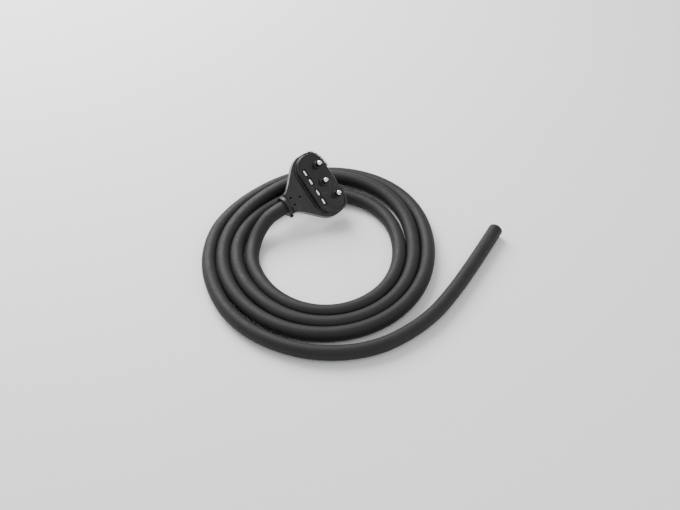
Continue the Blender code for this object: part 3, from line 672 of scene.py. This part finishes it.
@dataclass
class Hose:
    """About four metres of hose: from the neck down, three turns on the floor, and a loose end."""

    head: HeadFrame
    diameter: float = HOSE_D
    bore: float = 0.019
    middle: tuple[float, float] = (0.0175, -0.153)
    stretch: float = 1.075
    bore_depth: float = 0.060
    lip: float = 0.0004
    sides: int = 32
    ring_gap: float = 0.004
    easing_rings: int = 11
    first_turn_point: float = 30.0
    turn_step: float = 15.0
    radius_step: float = 45.0
    seat_points: tuple[float, ...] = (0.0143, 0.0, -0.012)
    turn_radii: tuple[tuple[float, ...], ...] = (
        (5.06, 5.24, 5.42, 5.32, 5.09, 5.20, 5.18, 5.52),
        (6.10, 6.15, 6.29, 6.25, 6.08, 6.45, 6.45, 6.25),
        (7.03, 7.16, 7.15, 7.12, 7.08, 7.38, 7.24, 7.16),
        (7.98,),
    )
    ride_up: tuple[float, ...] = (0.0, 0.0, 0.0, 0.0, 0.0, 0.25, 0.46, 0.45, 0.06, 0.0)
    lead_route: tuple[tuple[float, float, float], ...] = (
        (-0.0790, -0.0965, 0.03525),
        (-0.0905, -0.1085, 0.0285),
        (-0.09925, -0.1225, 0.0215),
        (-0.10525, -0.1390, 0.0155),
        (-0.10825, -0.1560, 0.0130),
        (-0.10875, -0.1720, 0.0125),
        (-0.10675, -0.1900, 0.0125),
    )
    tail_route: tuple[tuple[float, float], ...] = (
        (-0.17975, -0.1975),
        (-0.1665, -0.2460),
        (-0.1415, -0.2945),
        (-0.1040, -0.3350),
        (-0.0575, -0.3630),
        (-0.0050, -0.3795),
        (0.0500, -0.38125),
        (0.1025, -0.3690),
        (0.1525, -0.3400),
        (0.1960, -0.3000),
        (0.2325, -0.2500),
        (0.2650, -0.1975),
        (0.2925, -0.1500),
        (0.31675, -0.10725),
    )

    def turns(self) -> Array:
        """The three turns, a point every 15 degrees, counted from the left by the front.

        Returns:
            Points at the coil's middle plus each turn's radius along the turn angle, with the
            second turn's ride-up added to half a diameter of height.
        """
        degrees = np.arange(self.first_turn_point, 360.0 * 3, self.turn_step)
        radii = np.array([r for turn in self.turn_radii for r in turn])
        radius = cubic(radii, degrees / self.radius_step) * self.diameter
        rise = cubic(np.array(self.ride_up), (degrees - 360.0) / self.radius_step)
        rise[degrees < 360.0] = 0.0
        angle = np.radians(180.0 + degrees)
        return np.column_stack([
            self.middle[0] + radius * np.cos(angle),
            self.middle[1] + self.stretch * radius * np.sin(angle),
            (0.5 + rise) * self.diameter,
        ])

    def route(self) -> Array:
        """The hose's whole middle line, from its seat in the neck to its cut end.

        Returns:
            Points a ring's gap apart, each the weighted mean of its neighbours, so that the
            bend changes slowly.
        """
        seat = self.head.world(np.array([(0, y, 0) for y in self.seat_points]))
        tail = np.column_stack([np.array(self.tail_route),
                                np.full(len(self.tail_route), self.diameter / 2)])
        line = smooth_through(np.vstack([seat, self.lead_route, self.turns(), tail]),
                              self.ring_gap)
        weights = np.hanning(self.easing_rings)
        weights /= weights.sum()
        reach = len(weights) // 2
        held = np.vstack([2 * line[0] - line[reach:0:-1], line,
                          2 * line[-1] - line[-2:-reach - 2:-1]])
        eased = np.column_stack([np.convolve(held[:, k], weights, "valid") for k in range(3)])
        eased[:, 2] = np.maximum(eased[:, 2], self.diameter / 2)
        return eased

    def surface(self, line: Array) -> Surface:
        """A round wall carried along the middle line, turned in at the cut end to its bore.

        Each ring is the line's point plus the radius times the cosine along the level side
        direction and the sine along the upward one.

        Args:
            line: the middle line.

        Returns:
            One closed shell.
        """
        way = np.gradient(line, axis=0)
        way /= np.linalg.norm(way, axis=1)[:, None]
        side = np.cross(way, (0.0, 0.0, 1.0))
        side /= np.linalg.norm(side, axis=1)[:, None]
        up = np.cross(side, way)
        outer, inner, lip = self.diameter / 2, self.bore / 2, self.lip
        deep = int(self.bore_depth / self.ring_gap)
        last = len(line) - 1
        rings = np.concatenate([np.arange(len(line)), [last] * 4,
                                np.arange(last - 1, last - deep, -1)])
        end = [outer - lip, inner + lip, inner, inner]
        radius = np.concatenate([np.full(len(line), outer), end, np.full(deep - 1, inner)])
        push = np.zeros(len(rings))
        push[last] = -lip
        push[last + 3:last + 5] = -lip
        middle = line[rings] + push[:, None] * way[rings]
        angle = np.linspace(0, TAU, self.sides, endpoint=False) - math.pi / 2
        grid = (middle[:, None] + radius[:, None, None]
                * (np.cos(angle)[None, :, None] * side[rings][:, None]
                   + np.sin(angle)[None, :, None] * up[rings][:, None]))
        return sheet_of(grid, capped=True)

    def build(self) -> bpy.types.Object:
        """Returns:
            The hose.
        """
        line = self.route()
        hose = add_piece("hose", self.surface(line), Finishes.HOSE,
                         replaces=("hose_lead", "hose_coil", "hose_tail"))
        leaves = self.head.world(np.array([0, 0.001, 0]))
        return hose


# ------------------------------------------------------------------ the head
@dataclass
class Shells:
    """The head's two shells, its neck and the screws that hold them."""

    head: HeadFrame
    neck_half: float = 0.0180
    lobe_half: float = 0.0612
    shoulder: float = 0.0081
    flare_start: float = 0.0040
    flare_end: float = 0.0690
    lobe_middle: float = 0.0725
    length: float = 0.1075
    power: float = 3.2
    parting: float = 0.0035
    face_bottom: float = 0.0051
    plate_top: float = 0.0160
    sole_top: float = 0.0270
    sole_seat: float = 0.0241
    stub_radius: float = 0.0166
    boss_near: float = 0.0485
    boss_far: float = 0.1020
    boss_half: float = 0.0570
    seat_wall: float = 0.0016
    edge_radius: float = 0.0018
    edge_support: float = 0.0012
    foot_radius: float = 0.0018
    foot_lift: float = 0.0001
    crown_radius: float = 0.0013
    boss_sunk: float = 0.0010
    stub_start: float = 0.0010
    stub_past_shoulder: float = 0.0040
    dish_depth: float = 0.0065
    dish_round: float = 0.0090
    barrel_end: float = 0.0520
    barrel_end_radius: float = 0.0062
    barrel_fade_start: float = 0.0140
    barrel_fade_length: float = 0.0360
    hole_radius: float = 0.0020
    hole_floor: float = 0.0086
    hole_flare: float = 0.0007
    well_radius: float = 0.0035
    well_floor: float = -0.0036
    well_mouth: float = -0.0090
    grub_profile: tuple[tuple[float, float], ...] = (
        (0, 0.0106), (0.0008, 0.0106), (0.0009, 0.0118), (0.0015, 0.0118), (0.0019, 0.0114),
        (0.0019, 0.0088), (0, 0.0088))
    head_radius: float = 0.0032
    head_under: float = -0.0037
    head_crown: float = 0.0011
    head_recess: tuple[tuple[float, float], ...] = ((0.0014, -0.0059), (0.0011, -0.0046),
                                                    (0, -0.0046))
    grub_places: tuple[tuple[float, float], ...] = ((0.0, 0.0310), (-0.0067, 0.0152),
                                                    (0.0067, 0.0152))
    screw_places: tuple[tuple[float, float], ...] = ((-0.0270, 0.0425), (0.0270, 0.0425),
                                                     (-0.0455, 0.0755), (0.0455, 0.0755))

    def outline(self, count: int = 240) -> Array:
        """The paddle's outline: a smooth step from neck to lobes, closed by a squarish oval.

        Args:
            count: how many points.

        Returns:
            The outline, counter-clockwise seen from the sole.
        """
        y = np.linspace(self.shoulder, self.flare_end, 40)
        t = np.clip((y - self.flare_start) / (self.flare_end - self.flare_start), 0, 1)
        half = self.neck_half + (self.lobe_half - self.neck_half) * (3 * t**2 - 2 * t**3)
        angle = np.linspace(0, math.pi, 160)
        cos, sin = np.cos(angle), np.sin(angle)
        cap_x = self.lobe_half * np.sign(cos) * np.abs(cos) ** (2 / self.power)
        cap_y = self.lobe_middle + (self.length - self.lobe_middle) * sin ** (2 / self.power)
        right = np.column_stack([half, y])
        left = np.column_stack([-half[::-1], y[::-1]])
        return even_loop(np.vstack([right, np.column_stack([cap_x, cap_y]), left]), count)

    def stadium(self, steps: int = 40) -> Array:
        """The boss's outline: two half circles joined by straight sides.

        Args:
            steps: how many steps round each half circle.

        Returns:
            The outline, counter-clockwise seen from the sole.
        """
        radius = (self.boss_far - self.boss_near) / 2
        middle = (self.boss_far + self.boss_near) / 2
        straight = self.boss_half - radius
        return np.vstack([arc(radius, -90, 90, steps, (straight, middle)),
                          arc(radius, 90, 270, steps, (-straight, middle))])

    def half_barrel(self, y: Array, radius: Array, low: float, high: float) -> Surface:
        """A round bar along Y, cut flat between two levels.

        Args:
            y: where each ring lies.
            radius: each ring's radius.
            low: the lowest level kept.
            high: the highest level kept.

        Returns:
            The closed surface.
        """
        angle = np.linspace(0, TAU, 64, endpoint=False)
        grid = np.empty((len(y), len(angle), 3))
        grid[..., 0] = radius[:, None] * np.cos(angle)
        grid[..., 1] = y[:, None]
        grid[..., 2] = np.clip(radius[:, None] * np.sin(angle), low, high)
        return sheet_of(grid, capped=True)

    def face(self) -> Surface:
        """The paddle with its rounded edge, the boss with a filleted foot, and the neck's top.

        Returns:
            Three closed shells that run into each other.
        """
        edge, foot, crown = self.edge_radius, self.foot_radius, self.crown_radius
        turned_edge = arc(edge, 180, 90, 12)
        levels = np.vstack([
            [self.face_bottom, EDGE_BREAK], [self.face_bottom + EDGE_BREAK, 0.0],
            np.column_stack([self.plate_top - edge + turned_edge[:, 1],
                             edge + turned_edge[:, 0]]),
            [self.plate_top, edge + self.edge_support],
        ])
        paddle = stacked(self.outline(), levels)
        fillet = arc(foot, -90, -180, 12)
        top = arc(crown, 180, 90, 12)
        boss_levels = np.vstack([
            [self.plate_top - self.boss_sunk, -foot],
            np.column_stack([self.plate_top + self.foot_lift + foot + fillet[:, 1],
                             -foot - fillet[:, 0]]),
            np.column_stack([self.sole_top - crown + top[:, 1], crown + top[:, 0]]),
            [self.sole_top, self.seat_wall], [self.sole_seat, self.seat_wall],
        ])
        boss = stacked(self.stadium(), boss_levels)
        y = np.array([self.stub_start, self.stub_start + EDGE_BREAK,
                      self.shoulder + self.stub_past_shoulder])
        radius = self.stub_radius - np.array([EDGE_BREAK, 0.0, 0.0])
        stub = self.half_barrel(y, radius, self.face_bottom, self.sole_top)
        return paddle.add(boss).add(stub)

    def back(self) -> Surface:
        """The dished back, its edge a quarter round, with the neck's tapering barrel under it.

        Returns:
            Two closed shells that run into each other.
        """
        reach = self.dish_round
        floor = -self.dish_depth
        t = np.radians(np.linspace(0, 90, 14))
        levels = np.vstack([
            [self.parting, EDGE_BREAK], [self.parting - EDGE_BREAK, 0.0],
            np.column_stack([floor + reach * (1 - np.sin(t)), reach * (1 - np.cos(t))]),
            [floor, reach + self.edge_support],
        ])
        dish = stacked(self.outline(), levels[::-1])
        y = np.linspace(self.stub_start, self.barrel_end, 30)
        fade = np.clip((y - self.barrel_fade_start) / self.barrel_fade_length, 0, 1)
        radius = self.stub_radius - ((self.stub_radius - self.barrel_end_radius)
                                     * (3 * fade**2 - 2 * fade**3))
        barrel = self.half_barrel(y, radius, -self.stub_radius, self.parting)
        return dish.add(barrel)

    def grub(self, x: float, y: float) -> Surface:
        """A small grub screw deep in its hole, with a round drive recess."""
        return turned(np.array(self.grub_profile), 24, centre=(x, y, 0))

    def build(self) -> None:
        """Make both shells with their screw holes, and the screws."""
        hole, flare, past = self.hole_radius, self.hole_flare, self.plate_top + 0.0020
        drill = np.array([(0, self.hole_floor), (hole, self.hole_floor),
                          (hole, self.plate_top - 0.0004),
                          (hole + flare, self.plate_top + 0.0001), (hole + flare, past),
                          (0, past)])
        holes = Surface()
        for x, y in self.grub_places:
            holes.add(turned(drill, 32, centre=(x, y, 0)))
        face = add_piece("face_shell_surface", self.face().moved(self.head), Finishes.SHELL,
                         replaces=("face_shell",), sharp=SHELL_SHARP)
        drilled(face, holes.moved(self.head))
        for i, (x, y) in enumerate(self.grub_places, 1):
            add_piece(f"sunk_grub_screw_{i}", self.grub(x, y).moved(self.head), Finishes.SCREW,
                      replaces=(f"grub_screw_{i}",))
        well = np.array([(0, self.well_mouth), (self.well_radius, self.well_mouth),
                         (self.well_radius, self.well_floor), (0, self.well_floor)])
        wells, heads = Surface(), Surface()
        for x, y in self.screw_places:
            wells.add(turned(well, 32, centre=(x, y, 0)))
            heads.add(self.screw_head(x, y))
        back = add_piece("back_shell_surface", self.back().moved(self.head), Finishes.SHELL,
                         replaces=("back_shell",), sharp=SHELL_SHARP)
        drilled(back, wells.moved(self.head))
        add_piece("shell_screw_heads", heads.moved(self.head), Finishes.SCREW)

    def screw_head(self, x: float, y: float) -> Surface:
        """A pan head with a round drive recess.

        Args:
            x: across the head.
            y: along the head.

        Returns:
            The closed surface, facing the back.
        """
        rim = self.head_radius
        crown = arc(self.head_crown, 0, -90, 5, (rim - self.head_crown,
                                                 self.head_under - self.head_crown))
        profile = np.vstack([[0, self.head_under], [rim, self.head_under], crown,
                             self.head_recess])
        return turned(profile, 32, centre=(x, y, 0))


@dataclass
class Collar:
    """The split band round the neck's mouth, with its two ears and one screw."""

    head: HeadFrame
    inner: float = 0.0169
    outer: float = 0.0186
    start: float = 0.0010
    length: float = 0.0068
    ear_reach: float = 0.0042
    ear_half: float = 0.0034
    slit: float = 0.0012
    bead: float = 0.0005
    ear_width: float = 0.0026
    ear_root: float = 0.0006

    def band(self) -> Surface:
        """A rounded strap's section carried round the neck, short of the slit.

        Returns:
            One closed shell with two flat ends.
        """
        bead, half = self.bead, self.length / 2
        thick = (self.outer - self.inner) / 2
        corners = ((1, 1, 0), (-1, 1, 90), (-1, -1, 180), (1, -1, 270))
        section = np.vstack([
            arc(bead, turn, turn + 90, 4, (sx * (thick - bead), sy * (half - bead)))
            for sx, sy, turn in corners
        ])
        gap = math.asin(self.slit / 2 / self.inner)
        angle = np.linspace(gap, TAU - gap, 120)[:, None]
        radius = (self.inner + self.outer) / 2 + section[:, 0]
        grid = np.empty((len(angle), len(section), 3))
        grid[..., 0] = radius * np.cos(angle)
        grid[..., 1] = self.start + half + section[:, 1]
        grid[..., 2] = radius * np.sin(angle)
        return sheet_of(grid, capped=True)

    def build(self) -> None:
        """Make the band and its ears."""
        whole = self.band()
        half_ear = (self.ear_half - self.slit / 2) / 2
        middle = self.start + self.length / 2
        for side in (1, -1):
            centre = (self.outer + self.ear_reach / 2 - self.ear_root, middle,
                      side * (self.slit / 2 + half_ear))
            size = (self.ear_reach / 2 + self.ear_root, self.ear_width, half_ear)
            whole.add(rounded_block(np.array(centre), np.array(size), self.bead))
        add_piece("neck_collar_band", whole.moved(self.head), Finishes.CUP,
                  replaces=("neck_collar",))


@dataclass
class RunningGear:
    """The steel rollers and balls that carry the head over the pool's floor."""

    head: HeadFrame
    roller_radius: float = 0.0023
    roller_half: float = 0.0048
    journal_radius: float = 0.0008
    journal_half: float = 0.0087
    roller_places: tuple[float, ...] = (-0.02925, -0.01125, 0.01125, 0.02925)
    roller_line: float = 0.0595
    roller_level: float = 0.0254
    roller_shoulder: float = 0.0006
    groove_place: float = 0.0030
    groove_half: float = 0.0002
    groove_depth: float = 0.00025
    journal_waist: float = 0.75
    ball_radius: float = 0.0046
    ball_places: tuple[tuple[float, float], ...] = ((-0.031, 0.0875), (0.0, 0.0800),
                                                    (0.031, 0.0875))
    ball_level: float = 0.0395
    sole_top: float = 0.0270
    cup_gap: float = 0.0003
    flange_radius: float = 0.0075
    flange_rise: float = 0.0010
    flange_round: float = 0.0007
    stem_radius: float = 0.0049
    waist_round: float = 0.0014
    rim_radius: float = 0.0054
    rim_profile: tuple[tuple[float, float], ...] = ((0.0050, -0.0036), (0.0054, -0.0030),
                                                    (0.0054, -0.0004))
    ring_gap: float = 0.00025
    ring_top: float = 0.0018
    ring_round: float = 0.0005

    def roller(self, x: float) -> Surface:
        """A roller's barrel, with round shoulders and two fine grooves.

        Args:
            x: where it sits across the head.

        Returns:
            The closed surface.
        """
        shoulder, radius = self.roller_shoulder, self.roller_radius
        right = arc(shoulder, 0, 90, 5, (radius - shoulder, self.roller_half - shoulder))
        groove = np.array([(radius, self.groove_place - self.groove_half),
                           (radius - self.groove_depth, self.groove_place),
                           (radius, self.groove_place + self.groove_half)])
        half = np.vstack([[(radius, 0.0)], groove, right, [(0, self.roller_half)]])
        left = half[:0:-1] * np.array([1, -1])
        return turned(np.vstack([left, half]), 40, 0,
                      (x, self.roller_line, self.roller_level))

    def journal(self, x: float) -> Surface:
        """The dark pin that a roller turns on, thinnest where it shows beside the barrel.

        Args:
            x: where it sits across the head.

        Returns:
            The closed surface.
        """
        radius, end = self.journal_radius, self.journal_half
        waist = radius * self.journal_waist
        half = np.array([(waist, self.roller_half - 0.0005), (waist, end - 0.0008),
                         (radius, end - 0.0006), (radius, end), (0, end)])
        left = half[::-1] * np.array([1, -1])
        return turned(np.vstack([left, half]), 24, 0,
                      (x, self.roller_line, self.roller_level))

    def ball(self, x: float, y: float) -> Surface:
        """A ball: the radius times the sine and cosine of the angle down from its top.

        Args:
            x: where it sits across the head.
            y: where it sits along the head.

        Returns:
            The closed surface.
        """
        return turned(arc(self.ball_radius, -90, 90, 28), 56, 2, (x, y, self.ball_level))

    def cup(self, x: float, y: float) -> Surface:
        """The cup that seats a ball: a flange, a waisted stem and a round-lipped rim.

        Args:
            x: where it sits across the head.
            y: where it sits along the head.

        Returns:
            The closed surface.
        """
        base = self.sole_top + self.cup_gap - self.ball_level
        flange = arc(self.flange_round, 0, 90, 4, (self.flange_radius - self.flange_round,
                                                   base + self.flange_rise))
        waist = arc(self.waist_round, 270, 180, 5,
                    (self.stem_radius + self.waist_round,
                     base + self.flange_rise + self.flange_round + self.waist_round))
        seat = arc(self.ball_radius + self.cup_gap, -4.9, -90, 12)
        profile = np.vstack([[0, base], [self.flange_radius, base], flange, waist,
                             self.rim_profile, seat])
        profile[-1, 0] = 0.0
        return turned(profile, 48, 2, (x, y, self.ball_level))

    def ring(self, x: float, y: float) -> Surface:
        """The ring that holds a ball in, rounded over at its top.

        Args:
            x: where it sits across the head.
            y: where it sits along the head.

        Returns:
            The closed surface.
        """
        rim = arc(self.ring_round, 0, 90, 5, (self.rim_radius - self.ring_round,
                                              self.ring_top - self.ring_round))
        inside = arc(self.ball_radius + self.ring_gap, 22.0, -1.2, 5)
        profile = np.vstack([[self.rim_radius, -0.0001], rim, inside])
        return turned(profile, 48, 2, (x, y, self.ball_level))

    def build(self) -> None:
        """Make every roller with its journal and every ball on its own body, and each ball's cup
        and ring on the cleaner.
        """
        for i, x in enumerate(self.roller_places, 1):
            add_piece(f"steel_roller_{i}", self.roller(x).moved(self.head), Finishes.STEEL,
                      f"roller_{i}_body", (f"roller_{i}",), 30.0)
            add_piece(f"roller_journal_{i}", self.journal(x).moved(self.head), Finishes.SCREW,
                      f"roller_{i}_body")
        for i, (x, y) in enumerate(self.ball_places, 1):
            add_piece(f"steel_ball_{i}", self.ball(x, y).moved(self.head), Finishes.STEEL,
                      f"ball_{i}_body", (f"ball_{i}",), 60.0)
            add_piece(f"caster_cup_{i}", self.cup(x, y).moved(self.head), Finishes.CUP,
                      replaces=(f"ball_cup_{i}",))
            add_piece(f"caster_ring_{i}", self.ring(x, y).moved(self.head), Finishes.SEAL,
                      replaces=(f"ball_ring_{i}",))


@dataclass
class BristleStrips:
    """Rows of short nylon bristles round the far corners, each on a thin rail."""

    shells: Shells
    set_in: float = 0.0006
    width: float = 0.0029
    rise: float = 0.0068
    splay: float = 0.0012
    from_x: float = 0.0200
    from_y: float = 0.0880
    rows: int = 5
    spacing: float = 0.00062
    thickness: float = 0.00024
    tip_share: float = 0.7
    rail_lift: float = 0.0002
    rail_rise: float = 0.0008
    foot_sunk: float = 0.0002
    wander: float = 0.00007
    sway: float = 0.00022
    uneven: float = 0.0006
    outline_points: int = 1200
    seed: int = 7

    def strip(self, side: int) -> Surface:
        """A rail with a bristle at each place along and across it.

        Each bristle is a thin square spike: four foot points and four tip points, the tip
        moved a little by seeded chance.

        Args:
            side: 1 for the right lobe, -1 for the left.

        Returns:
            The rail and its bristles, each a closed shell.
        """
        chance = np.random.default_rng(self.seed + side)
        outline = self.shells.outline(self.outline_points)
        keep = (outline[:, 0] > self.from_x) & (outline[:, 1] > self.from_y)
        outer = inset(outline, self.set_in)[keep]
        inner = inset(outline, self.set_in + self.width)[keep]
        low = self.shells.plate_top + self.rail_lift
        rail_top = low + self.rail_rise
        rail = np.stack([
            np.column_stack([outer, np.full(len(outer), low)]),
            np.column_stack([outer, np.full(len(outer), rail_top)]),
            np.column_stack([inner, np.full(len(inner), rail_top)]),
            np.column_stack([inner, np.full(len(inner), low)]),
        ], axis=1)
        whole = sheet_of(rail[::4], capped=True)
        step = np.linalg.norm(np.diff(outer, axis=0), axis=1).mean()
        every = max(1, int(round(self.spacing / step)))
        along, across = outer[::every], inner[::every]
        share = np.linspace(0.1, 0.9, self.rows)[:, None, None]
        feet = (along[None] * (1 - share) + across[None] * share).reshape(-1, 2)
        feet += chance.normal(0, self.wander, feet.shape)
        outward = np.broadcast_to(along - across, (self.rows, *along.shape)).reshape(-1, 2)
        lean = self.splay / self.width * outward + chance.normal(0, self.sway, feet.shape)
        tips = low + self.rise - chance.uniform(0, self.uneven, len(feet))
        half = self.thickness / 2
        corners = np.array([(-half, -half), (half, -half), (half, half), (-half, half)])
        bottom = np.concatenate([feet[:, None] + corners,
                                 np.full((len(feet), 4, 1), rail_top - self.foot_sunk)], axis=2)
        top = np.concatenate([feet[:, None] + lean[:, None] + self.tip_share * corners,
                              np.broadcast_to(tips[:, None, None], (len(feet), 4, 1))], axis=2)
        points = np.concatenate([bottom, top], axis=1).reshape(-1, 3)
        pattern = np.array([(3, 2, 1, 0), (4, 5, 6, 7), (0, 1, 5, 4), (1, 2, 6, 5),
                            (2, 3, 7, 6), (3, 0, 4, 7)])
        quads = (np.arange(len(feet))[:, None, None] * 8 + pattern).reshape(-1, 4)
        whole.add(Surface(points, quads))
        whole.points[:, 0] *= side
        return whole

    def build(self) -> None:
        """Make the strip at each lobe."""
        for name, side in (("right", 1), ("left", -1)):
            add_piece(f"bristles_{name}", self.strip(side).moved(self.shells.head),
                      Finishes.BRISTLE, replaces=(f"bristle_strip_{name}",))


# ------------------------------------------------------------------ the rest
KEPT_NODES: dict[Finishes, tuple[str, ...]] = {
    Finishes.SOLE: ("sole_plate", "roller_keeper", "hose_adaptor"),
    Finishes.SEAL: ("shell_seal", "adaptor_o_ring"),
    Finishes.SCREW: ("collar_screw", "shell_screw_1", "shell_screw_2", "shell_screw_3",
                     "shell_screw_4"),
}


def dress_kept_nodes() -> None:
    """Give every solid that shows as it is its finish."""
    for finish, names in KEPT_NODES.items():
        for name in names:
            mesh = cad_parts[name].data
            mesh.materials.clear()
            mesh.materials.append(finish.value.material())
        log.info("%s dresses %s", finish.value.label, ", ".join(names))


@dataclass
class Studio:
    """A pale floor, soft light from behind on the left, and the camera."""

    aim: tuple[float, float, float] = (0.0425, -0.1575, 0.0)
    distance: float = 1.649
    elevation: float = math.radians(46.0)
    lens: float = 50.3
    floor_reach: float = 40.0
    floor_gap: float = 0.0004
    sky: tuple[float, float, float] = (0.9, 0.91, 0.93)
    sky_strength: float = 0.97

    def floor(self) -> None:
        """A plain wide floor just under the hose."""
        span = np.linspace(-self.floor_reach, self.floor_reach, 3)
        x, y = np.meshgrid(span, span)
        grid = np.stack([x, y, np.full_like(x, -self.floor_gap)], axis=-1)
        flat = sheet_of(grid, wrap_columns=False)
        mesh = flat.mesh("floor")
        mesh.materials.append(Finishes.FLOOR.value.material())
        ground = bpy.data.objects.new("floor", mesh)
        bpy.context.scene.collection.objects.link(ground)

    def light(self, name: str, place: tuple[float, float, float], size: float,
              power: float) -> None:
        """A square soft light aimed at the coil.

        Args:
            name: its name.
            place: where it hangs.
            size: the length of its side.
            power: its strength in watts.
        """
        data = bpy.data.lights.new(name, "AREA")
        data.size = size
        data.energy = power
        lamp = bpy.data.objects.new(name, data)
        lamp.location = place
        lamp.rotation_mode = "QUATERNION"
        aim = Vector(self.aim) - Vector(place)
        lamp.rotation_quaternion = aim.to_track_quat("-Z", "Y")
        bpy.context.scene.collection.objects.link(lamp)

    def camera(self) -> None:
        """The camera in front, looking down at the coil."""
        data = bpy.data.cameras.new("camera")
        data.lens = self.lens
        data.sensor_width = 36.0
        data.clip_start = 0.05
        eye = bpy.data.objects.new("camera", data)
        back = Vector((0, -math.cos(self.elevation), math.sin(self.elevation)))
        eye.location = Vector(self.aim) + back * self.distance
        eye.rotation_mode = "QUATERNION"
        eye.rotation_quaternion = (-back).to_track_quat("-Z", "Y")
        bpy.context.scene.collection.objects.link(eye)
        bpy.context.scene.camera = eye

    def build(self) -> None:
        """Set up floor, lights, surroundings and camera."""
        self.floor()
        self.light("key", (-0.9, 1.2, 1.4), 1.5, 92.0)
        self.light("fill", (1.3, -1.2, 1.6), 3.0, 14.0)
        world = bpy.data.worlds.new("surroundings")
        world.use_nodes = True
        background = world.node_tree.nodes["Background"]
        background.inputs["Color"].default_value = (*self.sky, 1.0)
        background.inputs["Strength"].default_value = self.sky_strength
        bpy.context.scene.world = world
        self.camera()


def main() -> None:
    """Build the studio, the hose, then the head from its shells outwards."""
    Studio().build()
    head = HeadFrame()
    Hose(head).build()
    shells = Shells(head)
    shells.build()
    Collar(head).build()
    RunningGear(head).build()
    BristleStrips(shells).build()
    dress_kept_nodes()


if __name__ == "__main__":
    main()
